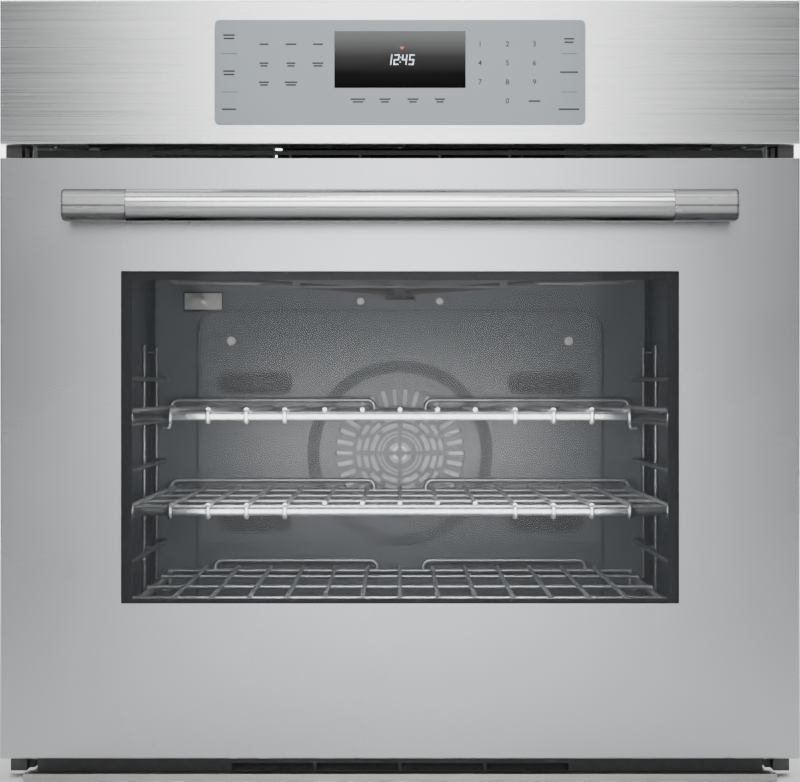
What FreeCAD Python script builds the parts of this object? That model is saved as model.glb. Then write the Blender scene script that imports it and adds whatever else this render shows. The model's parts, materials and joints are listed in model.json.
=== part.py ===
"""Built-in wall oven for a 30-inch cabinet: casing, cavity, control panel, door, racks and machinery.

Millimetres, +X to the right as seen from the front, +Z up. The pieces are modelled with Y as the depth
behind the cabinet face, positive towards the rear. The export moves them so that the origin is the
middle of the footprint, on the surface that the oven stands on.
"""

import FreeCAD, Part
import math
import os

from FreeCAD import Vector

# ---- overall sizes ----
front_width = 755.65
front_height = 738.2
chassis_height = 714.0
chassis_depth = 563.0
chassis_inset = 21.825
sheet = 1.0
thick_sheet = 1.2
fit_gap = 0.3

# ---- control panel ----
panel_height = 135.9
front_proud = 26.0
front_edge_radius = 1.5
return_gap = 4.0
glass_half_width = 175.0
glass_below_top = 18.7
control_glass_height = 99.1
control_glass_thickness = 4.0
control_glass_proud = 0.4
control_glass_radius = 5.0
glass_seat_gap = 0.25
display_half_width = 62.0
display_height = 53.8
display_below_glass_top = 10.4

# ---- door ----
panel_door_gap = 12.8
door_bottom = 21.7
door_skin = 1.0
door_return_gap = 6.0
window_half_width = 263.6
window_bottom = 168.3
window_height = 314.1
outer_glass_lap = 11.0
pane_thickness = 4.0
inner_pane_thickness = 3.0
middle_pane_depths = (-13.0, -4.0)
door_back = 12.0
door_body_inset = 32.8
inner_window_half_width = 262.0
inner_window_margin = 1.5
inner_glass_lap = 9.0
stile_width = 40.0
rail_height = 14.0
handle_below_door_top = 48.7
handle_radius = 15.25
handle_wall = 1.5
handle_stand_off = 45.0
handle_bar_half_length = 253.0
handle_end_length = 59.0
handle_end_height = 29.2
handle_post_length = 40.0
handle_post_height = 20.0

# ---- hinges ----
hinge_depth = 5.0
hinge_height = 41.0
hinge_inset = 53.325
hinge_plate = 5.0
hinge_pin_radius = 4.0
hinge_clearance = 0.06
hinge_arm_length = 219.0
hinge_eye_radius = 9.0
crank_radius = 20.0
crank_pin_radius = 2.5
hinge_side_room = 4.0
hinge_channel_wall = 2.0
hinge_channel_length = 300.0
hinge_channel_floor = 34.0
hinge_channel_top = 68.0
rod_radius = 1.9
rod_plate = 2.0
rod_side_gap = 0.8
spring_outer = 6.2
spring_inner = 4.6
spring_wire = 1.2
spring_turns = 14
spring_start = 150.0
spring_end = 250.0
sweep_depth = 25.2
sweep_height = 31.0

# ---- cavity ----
cavity_half_width = 293.5
cavity_floor = 75.0
cavity_height = 444.0
frame_depth = 20.0
space_behind_cavity = 63.0
cavity_corner = 12.0
fan_cover_stand_off = 12.0
fan_cover_margin = 7.0
fan_height = 296.4
well_radius = 125.0
well_depth = 20.0
gasket_radius = 3.85
gasket_outset = 9.5
gasket_bottom = 63.0
gasket_top = 534.0

# ---- fan cover grille ----
petal_count = 34
petal_inner = 56.0
petal_outer = 76.0
petal_width = 4.6
ring_emboss_inner = 94.0
ring_emboss_outer = 109.0
emboss_height = 0.8
field_inset = 57.9
field_corner = 24.0
field_bottom_rise = 30.0
field_top = 461.7
stadium_x = 170.5
stadium_length = 83.0
stadium_height = 19.3
stadium_heights = (378.2, 214.4)

# ---- vent trims ----
vent_depth = 28.0
upper_vent_bottom = 574.0
upper_vent_top = 602.0
upper_slot_bottom = 580.0
upper_slot_top = 597.6
upper_slot_centre_width = 74.0
upper_slot_width = 64.6
upper_slot_gap = 3.0
lower_vent_top = 51.0
lower_slot_bottom = 1.9
lower_slot_top = 8.7
lower_slot_width = 79.0
lower_slot_gap = 3.4
trim_lip_depth = -22.0
trim_lip_height = 6.6
trim_end_width = 8.6
trim_side_end = -9.0

# ---- flanges and side trims ----
flange_gap = 5.0
flange_reach = 20.5
flange_step = 43.8
flange_end = 75.0
flange_thickness = 2.0
flange_bottom = 2.0
flange_hole_reach = 13.0
flange_hole_heights = (120.0, 560.0)
flange_hole_radius = 2.25
side_trim_width = 4.0
side_trim_reach = 3.8
side_trim_depth = 8.0

# ---- racks and guides ----
bar_radius = 3.5
wire_radius = 2.2
cross_radius = 2.3
rail_radius = 3.0
rack_pitch = 93.3
bottom_bar_height = 157.5
rack_bar_depth = 50.0
rack_back_gap = 30.0
rail_inset = 25.0
wire_above_bar = 7.0
cross_above_bar = 2.5
rail_below_bar = 2.3
stop_above_bar = 14.5
stop_bend = 8.0
hook_below_bar = 18.0
hook_inset = 19.5
guide_inset = 9.0
guide_wire = 2.5
guide_rung_inset = 21.5
guide_bottom = 112.0
guide_top = 420.0
rung_below_bar = 8.9

# ---- small parts ----
gland_x = 270.0
gland_height = 640.0
gland_radius = 14.0
gland_bore = 9.5
lamp_inset = 93.5
lamp_cup_height = 34.0
lamp_depth = 120.0
lamp_radius = 22.0
lamp_housing_radius = 26.0
broil_height = 484.0
broil_tube = 3.3
broil_terminal_x = 10.0
bake_height = 62.0
bake_tube = 3.2
ring_radius = 95.0
ring_tube = 3.3
ring_terminal_x = 12.0
sensor_inset = 63.2
sensor_height = 474.0
sensor_plate_half = 21.7
latch_height = 560.0
latch_slot_half = 26.0
latch_pivot_x = -16.0
latch_pivot_depth = 40.0
latch_reach = 40.0
latch_arm_width = 10.0
latch_thickness = 3.0
switch_x = 150.0
switch_height = 546.0
blower_radius = 38.0
blower_length = 230.0
blower_share_of_depth = 0.42629
blower_height = 630.0
rod_height = 60.0
handle_bolt_places = (271.0, 294.0)
cover_screw_inset = 96.0
cover_screw_heights = (427.7, 120.0)
top_screw_x = 46.3
top_screw_height = 474.6
casing_screw_margins = (60.0, 23.0)
insulation_outset = 22.5
insulation_bottom = 22.0
insulation_top = 548.0
tray_height = 556.0
casing_screw_radius = 2.0

# ---- machinery over the cavity ----
housing_wall = 1.2
housing_gap = 8.0
blower_shaft = 3.0
shaft_bore = 3.05
blower_end_gap = 4.0
blower_blades = 16
blade_depth = 9.0
blower_motor_radius = 26.0
blower_motor_length = 50.0
fan_motor_radius = 24.0
fan_flange_radius = 30.0
fan_wheel_radius = 75.0
fan_wheel_depth = 16.0
fan_blades = 12
blade_thickness = 1.5
board_thickness = 1.6
logic_board_depth = -14.0
logic_board_half_width = 150.0
logic_board_height = 84.0
power_board_span = (60.0, 300.0)
power_board_length = 140.0
board_post = 4.0
junction_half_width = 45.0
junction_half_height = 38.0
gland_length = 18.0
gland_nut = 7.0

# ---- worked-out values ----
half_front = front_width / 2
half_chassis = half_front - chassis_inset
hinge_x = half_front - hinge_inset
hinge_channel_inside = hinge_plate + 2 * hinge_side_room
vent_half_width = half_chassis - 5.0
trim_half_width = half_chassis + 0.8
flange_inner = half_chassis + flange_gap
flange_outer = half_chassis + flange_reach
flange_hole_x = half_chassis + flange_hole_reach
side_trim_outer = half_chassis + side_trim_reach
side_trim_inner = side_trim_outer - side_trim_width
intake_half_width = half_chassis - 60.0
panel_screw_places = (25.0 - half_chassis, 0.0, half_chassis - 25.0)
casing_screw_places = tuple((x, y) for y in (casing_screw_margins[0], chassis_depth - casing_screw_margins[1])
                            for x in (26.0 - half_chassis, 0.0, half_chassis - 26.0))
cavity_depth = chassis_depth - space_behind_cavity
fan_cover_depth = cavity_depth - fan_cover_stand_off
blower_depth = chassis_depth * blower_share_of_depth
gasket_half_width = cavity_half_width + gasket_outset
field_half_width = cavity_half_width - field_inset
rail_x = cavity_half_width - rail_inset
wire_pitch = (rail_x - 5.65) / 7
hook_reach = cavity_half_width - hook_inset
guide_x = cavity_half_width - guide_inset
guide_rung_x = cavity_half_width - guide_rung_inset
rack_back_depth = cavity_depth - rack_back_gap
guide_depths = (60.0, cavity_depth - 149.0, cavity_depth - 21.0)
lamp_x = cavity_half_width - lamp_inset
sensor_x = sensor_inset - cavity_half_width
cover_screw_x = cavity_half_width - cover_screw_inset
tray_top = tray_height + sheet
front_face = -front_proud
panel_bottom = front_height - panel_height
door_top = panel_bottom - panel_door_gap
door_half_body = half_front - door_body_inset
door_body_bottom = door_bottom + 2.3
door_body_top = door_top - 3.5
window_top = window_bottom + window_height
cavity_top = cavity_floor + cavity_height
handle_height = door_top - handle_below_door_top
handle_depth = front_face - handle_stand_off
model_front = handle_depth - handle_radius
depth_shift = -(model_front + chassis_depth) / 2
control_glass_top = front_height - glass_below_top
control_glass_bottom = control_glass_top - control_glass_height
control_glass_front = front_face - control_glass_proud
display_top = control_glass_top - display_below_glass_top
display_bottom = display_top - display_height
outer_glass_front = front_face + door_skin
outer_glass_back = outer_glass_front + pane_thickness
inner_window_bottom = window_bottom - inner_window_margin
inner_window_top = window_top + inner_window_margin
inner_face = door_back - door_skin
hinge_bay_half = hinge_channel_inside / 2 + hinge_channel_wall + 4.0
hinge_bay_top = hinge_height + 39.0
X = Vector(1, 0, 0)
Y = Vector(0, 1, 0)
Z = Vector(0, 0, 1)


# ---- shape helpers ----
def box(x0, x1, y0, y1, z0, z1):
    return Part.makeBox(x1 - x0, y1 - y0, z1 - z0, Vector(x0, y0, z0))


def rod(radius, start, end):
    start, end = Vector(*start), Vector(*end)
    run = end - start
    return Part.makeCylinder(radius, run.Length, start, run)


def both_sides(shape):
    """The shape and its mirror image across the middle of the oven."""
    return [shape, shape.mirror(Vector(0, 0, 0), X)]


def mirrored(shape):
    return Part.makeCompound([s for s in both_sides(shape)])


def joined(shapes):
    """One solid out of shapes that overlap or touch."""
    first, rest = shapes[0], list(shapes[1:])
    whole = first.multiFuse(rest) if rest else first
    return whole.removeSplitter()


def cut(shape, tools):
    return shape.cut(Part.makeCompound(list(tools)))


def rounded_plate(half_width, z0, z1, y0, y1, radius, centre_x=0.0):
    """A plate that faces the front, with rounded corners."""
    plate = box(centre_x - half_width, centre_x + half_width, y0, y1, z0, z1)
    corners = [e for e in plate.Edges if abs(e.tangentAt(e.FirstParameter).y) > 0.99]
    return plate.makeFillet(radius, corners)


def bent_wire(points, radius, bend, closed=False):
    """A round wire along straight runs joined by arcs of one bend radius."""
    places = [Vector(*p) for p in points]
    count = len(places)
    edges, trims = [], []
    for i, place in enumerate(places):
        if not closed and i in (0, count - 1):
            trims.append((place, place, None))
            continue
        back = (places[i - 1] - place).normalize()
        ahead = (places[(i + 1) % count] - place).normalize()
        angle = back.getAngle(ahead)
        reach = bend / math.tan(angle / 2)
        start, end = place + back * reach, place + ahead * reach
        middle = (back + ahead).normalize()
        peak = place + middle * (bend / math.sin(angle / 2) - bend)
        trims.append((start, end, Part.Arc(start, peak, end).toShape()))
    for i in range(count if closed else count - 1):
        start, end, arc = trims[i]
        if arc is not None:
            edges.append(arc)
        following = trims[(i + 1) % count][0]
        edges.append(Part.LineSegment(end, following).toShape())
    path = Part.Wire(edges)
    first = edges[0]
    origin = first.valueAt(first.FirstParameter)
    direction = first.tangentAt(first.FirstParameter)
    profile = Part.Wire([Part.makeCircle(radius, origin, direction)])
    return path.makePipeShell([profile], True, True)


def arc_slot(r0, r1, middle, span, y0, y1, height):
    """A curved slot round the fan's axis, at an angle in degrees from +X towards +Z."""
    outer = Part.makeCylinder(r1, y1 - y0, Vector(0, 0, 0), Z, span)
    inner = Part.makeCylinder(r0, y1 - y0 + 2, Vector(0, 0, -1), Z, 360)
    slot = outer.cut(inner)
    slot.rotate(Vector(0, 0, 0), Z, -middle - span / 2)
    slot.rotate(Vector(0, 0, 0), X, -90)
    slot.translate(Vector(0, y0, height))
    return slot


def stadium(centre_x, height, length, tall, y0, y1):
    return rounded_plate(length / 2, height - tall / 2, height + tall / 2, y0, y1, tall / 2 - 0.01, centre_x)


def screw(x, y, z, direction, head_radius=3.5, head=2.0, shank_radius=1.6, shank=8.0):
    """A pan-head screw. The point is under the head, and the direction is the way the shank goes."""
    direction = Vector(*direction)
    base = Vector(x, y, z)
    cap = Part.makeCylinder(head_radius, head, base - direction * head, direction)
    stem = Part.makeCylinder(shank_radius, shank, base, direction)
    return joined([cap, stem])


# ---- casing ----
def side_panels():
    panel = box(-half_chassis, -half_chassis + sheet, 30.0, chassis_depth, 13.0, chassis_height - sheet)
    first = chassis_depth - 143.0
    vents = [box(-half_chassis - 1, -half_chassis + 2, first + i * 16.0, first + 6 + i * 16.0, 600.0, 660.0)
             for i in range(6)]
    return mirrored(cut(panel, vents))


def rear_panel():
    half = half_chassis - sheet
    panel = box(-half, half, chassis_depth - sheet, chassis_depth, 13.0, chassis_height - sheet)
    hole = rod(gland_radius + 0.2, (gland_x, chassis_depth - 5, gland_height),
               (gland_x, chassis_depth + 5, gland_height))
    vents = [box(-150 + i * 20.0, -142 + i * 20.0, chassis_depth - 5, chassis_depth + 5, 630.0, 680.0)
             for i in range(15)]
    return cut(panel, vents + [hole])


def top_panel():
    panel = box(-half_chassis, half_chassis, 0.0, chassis_depth, chassis_height - sheet, chassis_height)
    holes = [rod(casing_screw_radius, (x, y, chassis_height - 5), (x, y, chassis_height + 5))
             for x, y in casing_screw_places]
    return cut(panel, holes)


def base_pan():
    """The floor sheet, with the two open channels under it that carry the casing."""
    pan = box(-half_chassis, half_chassis, 32.0, chassis_depth, 12.0, 13.0)
    x0, x1 = half_chassis - 106.0, half_chassis - 56.0
    outer = box(x0, x1, 40.0, chassis_depth - 5, 0.0, 12.0)
    inner = box(x0 + 1.5, x1 - 1.5, 39.0, chassis_depth, 1.5, 10.5)
    mouth = box(x0 + 12.0, x1 - 12.0, 39.0, chassis_depth, 8.0, 20.0)
    channel = cut(outer, [inner, mouth])
    return Part.makeCompound([pan] + both_sides(channel))


def mounting_flanges():
    """Side angles that lie on the cabinet face and step in to the casing's sides.

    Their lowest stretch is set back, clear of the circle that the door's lower edge swings through.
    """
    leg = flange_inner + thick_sheet
    outline = [(flange_outer, 0.0), (flange_outer, -flange_thickness), (flange_inner, -flange_thickness),
               (flange_inner, flange_step), (half_chassis, flange_step), (half_chassis, flange_end),
               (half_chassis + thick_sheet, flange_end), (half_chassis + thick_sheet, flange_step + thick_sheet),
               (leg, flange_step + thick_sheet), (leg, 0.0)]
    points = [Vector(x, y, flange_bottom) for x, y in outline]
    face = Part.Face(Part.makePolygon(points + points[:1]))
    angle = face.extrude(Vector(0, 0, chassis_height - flange_bottom))
    notch = box(flange_inner - 5, flange_outer + 5, -10.0, sweep_depth, 0.0, sweep_height)
    tab = box(flange_inner, flange_outer, sweep_depth, sweep_depth + flange_thickness, flange_bottom,
              sweep_height + 4)
    holes = [rod(flange_hole_radius, (flange_hole_x, -10, z), (flange_hole_x, 10, z)) for z in flange_hole_heights]
    return mirrored(joined([cut(angle, holes + [notch]), tab]))


def side_trim_rails():
    """Light angles beside the casing's mouth, set back at the foot as the flanges are."""
    def angle(depth, z0, z1):
        front = box(side_trim_inner, side_trim_outer, depth, depth + thick_sheet, z0, z1)
        leg = box(side_trim_inner, side_trim_inner + thick_sheet, depth, 29.9, z0, z1)
        return [front, leg]

    return mirrored(joined(angle(side_trim_depth, sweep_height, upper_vent_top)
                           + angle(sweep_depth, 13.0, sweep_height + 4)))


def front_frame():
    y0, y1 = frame_depth, frame_depth + 1.5
    plate = box(-half_chassis + 4, half_chassis - 4, y0, y1, lower_vent_top + 1, upper_vent_bottom - 1)
    mouth = rounded_plate(cavity_half_width, cavity_floor, cavity_top, y0 - 5, y1 + 5, cavity_corner)
    slots = [box(s * hinge_x - hinge_bay_half, s * hinge_x + hinge_bay_half, y0 - 5, y1 + 5, 20.0,
                 hinge_channel_top + 2) for s in (-1, 1)]
    latch = box(-latch_slot_half, latch_slot_half, y0 - 5, y1 + 5, latch_height - 6, latch_height + 6)
    switch = rod(3.2, (switch_x, 0, switch_height), (switch_x, 40, switch_height))
    return cut(plate, [mouth, latch, switch] + slots)


def vent_slots(widths_and_places, y0, y1, z0, z1):
    return [box(x - w / 2, x + w / 2, y0, y1, z0, z1) for w, x in widths_and_places]


def vent_trims():
    """The slotted sheets over and under the door."""
    return Part.makeCompound([upper_vent_trim(), lower_vent_trim()])


def upper_vent_trim():
    plate = box(-vent_half_width, vent_half_width, vent_depth, vent_depth + sheet, upper_vent_bottom,
                upper_vent_top)
    places = [(upper_slot_centre_width, 0.0)]
    for side in (-1, 1):
        for i in range(3):
            first = upper_slot_centre_width / 2 + upper_slot_gap + upper_slot_width / 2
            places.append((upper_slot_width, side * (first + i * (upper_slot_width + upper_slot_gap))))
    slots = vent_slots(places, vent_depth - 5, vent_depth + 5, upper_slot_bottom, upper_slot_top)
    return cut(plate, slots)


def lower_vent_trim():
    plate = box(-vent_half_width, vent_half_width, vent_depth, vent_depth + sheet, 1.0, lower_vent_top)
    pitch = lower_slot_width + lower_slot_gap
    places = [(lower_slot_width, (i - 1.5) * pitch) for i in range(4)]
    slots = vent_slots(places, vent_depth - 5, vent_depth + 5, lower_slot_bottom, lower_slot_top)
    bays = [box(s * hinge_x - hinge_bay_half, s * hinge_x + hinge_bay_half, vent_depth - 5, vent_depth + 5,
                hinge_channel_floor - 2, lower_vent_top + 5) for s in (-1, 1)]
    return cut(plate, slots + bays)


def bottom_trim():
    """The trim under the door: a long middle channel and two short end pieces."""
    half = trim_half_width - trim_end_width
    lip = box(-half, half, trim_lip_depth, trim_lip_depth + thick_sheet, 0.0, trim_lip_height)
    leg = box(-half, half, trim_lip_depth, vent_depth + sheet, 0.0, sheet)
    middle = joined([lip, leg])
    x0, x1 = half + 0.2, trim_half_width
    lip = box(x0, x1, trim_lip_depth, trim_lip_depth + thick_sheet, 0.0, trim_lip_height)
    leg = box(x0, x1, trim_lip_depth, vent_depth, 0.0, sheet)
    side = box(x1 - thick_sheet, x1, trim_lip_depth, trim_side_end, 0.0, trim_lip_height)
    return Part.makeCompound([middle] + both_sides(joined([lip, leg, side])))


# ---- cavity ----
def cavity_liner():
    y0, y1 = frame_depth + 1.5, cavity_depth
    wall = thick_sheet
    outer = rounded_plate(cavity_half_width + wall, cavity_floor - wall, cavity_top + wall, y0, y1,
                          cavity_corner + wall)
    inner = rounded_plate(cavity_half_width, cavity_floor, cavity_top, y0 - 5, y1 + 5, cavity_corner)
    lamps = [rod(lamp_radius, (s * lamp_x, lamp_depth, cavity_top - 20),
                 (s * lamp_x, lamp_depth, cavity_top + 20))
             for s in (-1, 1)]
    return cut(outer, [inner] + lamps)


def cavity_rear_wall():
    """The rear wall, with a round well for the fan."""
    y0, y1 = cavity_depth, cavity_depth + thick_sheet
    back = cavity_depth + well_depth
    half = cavity_half_width + thick_sheet
    plate = rounded_plate(half, cavity_floor - thick_sheet, cavity_top + thick_sheet, y0, y1,
                          cavity_corner + thick_sheet)
    wall = rod(well_radius + thick_sheet, (0, y0, fan_height), (0, back, fan_height))
    space = rod(well_radius, (0, y0 - 5, fan_height), (0, back - thick_sheet, fan_height))
    shaft_hole = rod(5.0, (0, back - 5, fan_height), (0, back + 5, fan_height))
    broil_holes = [rod(broil_tube + 0.2, (s * broil_terminal_x, y0 - 5, broil_height),
                       (s * broil_terminal_x, y1 + 5, broil_height)) for s in (-1, 1)]
    ring_holes = [rod(ring_tube + 0.2, (s * ring_terminal_x, back - 5, fan_height + ring_radius),
                      (s * ring_terminal_x, back + 5, fan_height + ring_radius)) for s in (-1, 1)]
    probe_hole = rod(2.8, (sensor_x, y0 - 5, sensor_height), (sensor_x, y1 + 5, sensor_height))
    return cut(joined([plate, wall]), [space, shaft_hole, probe_hole] + broil_holes + ring_holes)


def insulation_blanket():
    """A fibre wrap round the cavity, with a hole for the fan well and openings for the lamps."""
    half = min(cavity_half_width + insulation_outset, hinge_x - hinge_channel_inside / 2 - hinge_channel_wall)
    back = cavity_depth + 40.0
    outer = box(-half, half, 54.0, back, insulation_bottom, insulation_top)
    inner = box(-cavity_half_width - 3, cavity_half_width + 3, 30.0, cavity_depth + 4, 50.0, cavity_top + 3)
    well = rod(well_radius + 3, (0, cavity_depth - 10, fan_height), (0, back + 5, fan_height))
    lamps = [rod(lamp_housing_radius + 2, (s * lamp_x, lamp_depth, cavity_top),
                 (s * lamp_x, lamp_depth, insulation_top + 5)) for s in (-1, 1)]
    terminals = box(-broil_terminal_x - 12, broil_terminal_x + 12, cavity_depth, back + 5, broil_height - 10,
                    broil_height + 10)
    bake = box(-60.0, 60.0, cavity_depth - 5, back + 5, 40.0, 72.0)
    sensor = box(sensor_x - 12, sensor_x + 12, cavity_depth, back + 5, sensor_height - 8, sensor_height + 8)
    return cut(outer, [inner, well, terminals, bake, sensor] + lamps)


def fan_grille_openings(y0, y1):
    rings = ((4, 5.5, 13.0, 62.0), (4, 19.5, 21.8, 78.0), (4, 23.6, 25.9, 78.0), (8, 30.0, 35.0, 34.0),
             (12, 38.5, 43.0, 20.0), (16, 46.5, 51.0, 15.0))
    slots = []
    for count, r0, r1, span in rings:
        step = 360.0 / count
        slots += [arc_slot(r0, r1, (i + 0.5) * step, span, y0, y1, fan_height) for i in range(count)]
    for i in range(petal_count):
        petal = box(petal_inner, petal_outer, y0, y1, -petal_width / 2, petal_width / 2)
        petal.rotate(Vector(0, 0, 0), Y, i * 360.0 / petal_count)
        petal.translate(Vector(0, 0, fan_height))
        slots.append(petal)
    return slots


def fan_cover():
    """The pressed plate over the cavity's rear, with its raised field, ring and openings."""
    y0, y1 = fan_cover_depth - thick_sheet, fan_cover_depth
    half = cavity_half_width - fan_cover_margin
    z0, z1 = cavity_floor + fan_cover_margin, cavity_top - fan_cover_margin
    plate = rounded_plate(half, z0, z1, y0, y1, cavity_corner)
    skirt = rounded_plate(half, z0, z1, y1, cavity_depth, cavity_corner)
    hollow = rounded_plate(half - thick_sheet, z0 + thick_sheet, z1 - thick_sheet, y1 - 5, cavity_depth + 5,
                           cavity_corner - thick_sheet)
    field = rounded_plate(field_half_width, z0 + field_bottom_rise, field_top, y0 - emboss_height, y1, field_corner)
    ring = rod(ring_emboss_outer, (0, y0 - 2 * emboss_height, fan_height), (0, y0, fan_height))
    ring = ring.cut(rod(ring_emboss_inner, (0, 0, fan_height), (0, cavity_depth, fan_height)))
    openings = fan_grille_openings(y0 - 10, y1 + 10)
    openings += [stadium(s * stadium_x, z, stadium_length, stadium_height, y0 - 10, y1 + 10)
                 for s in (-1, 1) for z in stadium_heights]
    openings.append(box(-sensor_plate_half - 2 + sensor_x, sensor_plate_half + 2 + sensor_x, y0 - 10, y1 + 10,
                        sensor_height - 12, sensor_height + 12))
    openings += [rod(2.0, (s * cover_screw_x, y0 - 10, z), (s * cover_screw_x, y1 + 10, z))
                 for s in (-1, 1) for z in cover_screw_heights]
    openings += [rod(1.8, (s * top_screw_x, y0 - 10, top_screw_height),
                     (s * top_screw_x, y1 + 10, top_screw_height))
                 for s in (-1, 1)]
    whole = joined([plate, skirt.cut(hollow), field, ring])
    return cut(whole, openings + [broil_notch()])


def broil_notch():
    return box(-broil_terminal_x - 8, broil_terminal_x + 8, cavity_depth - 30, cavity_depth + 20, broil_height - 8,
               broil_height + 8)


def fan_cover_screws():
    front = fan_cover_depth - thick_sheet
    places = [(s * cover_screw_x, z) for s in (-1, 1) for z in cover_screw_heights]
    raised = front - emboss_height
    screws = [screw(x, raised, z, (0, 1, 0), 5.0, 2.4, 2.0, 9.0) for x, z in places]
    screws += [screw(s * top_screw_x, front, top_screw_height, (0, 1, 0), 4.0, 2.0, 1.8, 9.0)
               for s in (-1, 1)]
    return Part.makeCompound(screws)


def convection_element():
    """A ring round the fan wheel, with two tails through the well's back."""
    y = cavity_depth + 6
    ring = Part.makeTorus(ring_radius, ring_tube, Vector(0, y, fan_height), Y)
    tails = [rod(ring_tube - 0.3, (s * ring_terminal_x, y, fan_height + ring_radius),
                 (s * ring_terminal_x, cavity_depth + well_depth + 12, fan_height + ring_radius)) for s in (-1, 1)]
    return joined([ring] + tails)


def broil_element():
    """One tube that loops under the ceiling and runs back in a V to the rear wall, on its holder."""
    outer = cavity_half_width - 58.5
    half = [(broil_terminal_x, cavity_depth + 20), (broil_terminal_x, cavity_depth - 30), (outer - 86, 242),
            (outer - 40, 242), (outer, 205), (outer, 110), (outer - 35, 75)]
    points = [(x, y, broil_height) for x, y in half]
    points += [(-x, y, broil_height) for x, y in reversed(half)]
    z = broil_height - broil_tube - 2.0
    bar = box(42 - outer, outer - 42, 240.0, 244.0, z, z + 2.0)
    straps = [box(s * 110 - 4, s * 110 + 4, 240.0, 244.0, z, cavity_top) for s in (-1, 1)]
    return Part.makeCompound([bent_wire(points, broil_tube, 11.0), joined([bar] + straps)])


def bake_element():
    """The hidden element under the cavity floor, laid in five rows."""
    x = cavity_half_width - 73.5
    z = bake_height
    first, second, third, fourth, fifth = [cavity_depth * share for share in (0.88, 0.76, 0.6, 0.44, 0.28)]
    tail = cavity_depth + 20
    back = cavity_depth - 25
    route = [(-20, tail), (-20, first), (-x, first), (-x, second), (x, second), (x, third), (-x, third),
             (-x, fourth), (x, fourth), (x, fifth), (-x - 30, fifth), (-x - 30, back), (20, back), (20, tail)]
    return bent_wire([(a, b, z) for a, b in route], bake_tube, 18.0)


def rack_guides():
    """Wire ladders on the cavity's side walls: verticals with rungs that stand inwards."""
    z0, z1 = guide_bottom, guide_top
    parts = [rod(guide_wire, (-guide_x, y, z0), (-guide_x, y, z1)) for y in guide_depths]
    level = rack_pitch / 2
    first = bottom_bar_height - rung_below_bar
    for i in range(6):
        z = first + i * level
        route = [(-guide_x, guide_depths[0], z), (-guide_rung_x, guide_depths[0] + 10, z),
                 (-guide_rung_x, guide_depths[2] - 12, z), (-guide_x, guide_depths[2], z)]
        parts.append(bent_wire(route, guide_wire, 3.5))
        parts.append(rod(guide_wire - 0.4, (-guide_x, guide_depths[1], z), (-guide_rung_x, guide_depths[1], z)))
    pegs = [rod(2.0, (-cavity_half_width, y, z), (-guide_x, y, z)) for y in (guide_depths[0], guide_depths[2])
            for z in (z0 + 6, z1 - 6)]
    return mirrored(joined(parts + pegs))


def temperature_sensor():
    front = fan_cover_depth - thick_sheet
    plate = box(sensor_x - sensor_plate_half, sensor_x + sensor_plate_half, front - 3, front - 2,
                sensor_height - 9.5, sensor_height + 9.5)
    heads = [rod(4.2, (sensor_x + s * 14.5, front - 5, sensor_height),
                 (sensor_x + s * 14.5, front - 3, sensor_height))
             for s in (-1, 1)]
    probe = rod(2.6, (sensor_x, front - 55, sensor_height), (sensor_x, cavity_depth + 15, sensor_height))
    return joined([plate, probe] + heads)


def cavity_lamps():
    """Lamp cups over the ceiling's holes, each with its bulb."""
    top = cavity_top + thick_sheet
    outer = rod(lamp_housing_radius, (lamp_x, lamp_depth, top), (lamp_x, lamp_depth, top + lamp_cup_height))
    inner = rod(lamp_housing_radius - 1.5, (lamp_x, lamp_depth, top - 5), (lamp_x, lamp_depth, top + lamp_cup_height - 2))
    z = cavity_top + 14
    bulb = Part.makeSphere(7.0, Vector(lamp_x, lamp_depth, z))
    stem = rod(5.0, (lamp_x, lamp_depth, z), (lamp_x, lamp_depth, top + lamp_cup_height - 2))
    return Part.makeCompound(both_sides(outer.cut(inner)) + both_sides(joined([bulb, stem])))


def lamp_lenses():
    lens = rod(lamp_radius, (lamp_x, lamp_depth, cavity_top - 4), (lamp_x, lamp_depth, cavity_top + thick_sheet))
    rim = rod(lamp_radius + 4, (lamp_x, lamp_depth, cavity_top - 4), (lamp_x, lamp_depth, cavity_top))
    return mirrored(joined([lens, rim]))


def door_gasket():
    y = frame_depth - gasket_radius
    x = gasket_half_width
    points = [(-x, y, gasket_bottom), (x, y, gasket_bottom), (x, y, gasket_top), (-x, y, gasket_top)]
    return bent_wire(points, gasket_radius, 20.0, closed=True)


# ---- control panel ----
def front_pan(z0, z1, back, wall):
    """A sheet pan that faces the front, with its edges turned back."""
    outer = box(-half_front, half_front, front_face, back, z0, z1)
    rim = [e for e in outer.Edges if all(abs(v.Y - front_face) < 1e-6 for v in e.Vertexes)]
    outer = outer.makeFillet(front_edge_radius, rim)
    inner = box(-half_front + wall, half_front - wall, front_face + wall, back + 5, z0 + wall, z1 - wall)
    return outer.cut(inner)


def control_fascia():
    pan = front_pan(panel_bottom, front_height, -return_gap, thick_sheet)
    seat = glass_half_width + glass_seat_gap
    hole = rounded_plate(seat, control_glass_bottom - glass_seat_gap, control_glass_top + glass_seat_gap,
                         front_face - 5, front_face + 5, control_glass_radius + glass_seat_gap)
    grille = box(-intake_half_width, intake_half_width, front_face + 3, 0.0, panel_bottom - 1, panel_bottom + 2)
    return cut(pan, [hole, grille])


def control_glass():
    back = control_glass_front + control_glass_thickness
    glass = rounded_plate(glass_half_width, control_glass_bottom, control_glass_top, control_glass_front, back,
                          control_glass_radius)
    window = box(-display_half_width, display_half_width, control_glass_front - 5, back + 5, display_bottom,
                 display_top)
    return glass.cut(window)


def display_window():
    inset = 0.1
    back = control_glass_front + control_glass_thickness
    return box(-display_half_width + inset, display_half_width - inset, control_glass_front, back,
               display_bottom + inset, display_top - inset)


def circuit_boards():
    """Touch board, display module, logic board and power board."""
    return Part.makeCompound([touch_board(), display_module(), control_board(), power_board()])


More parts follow.
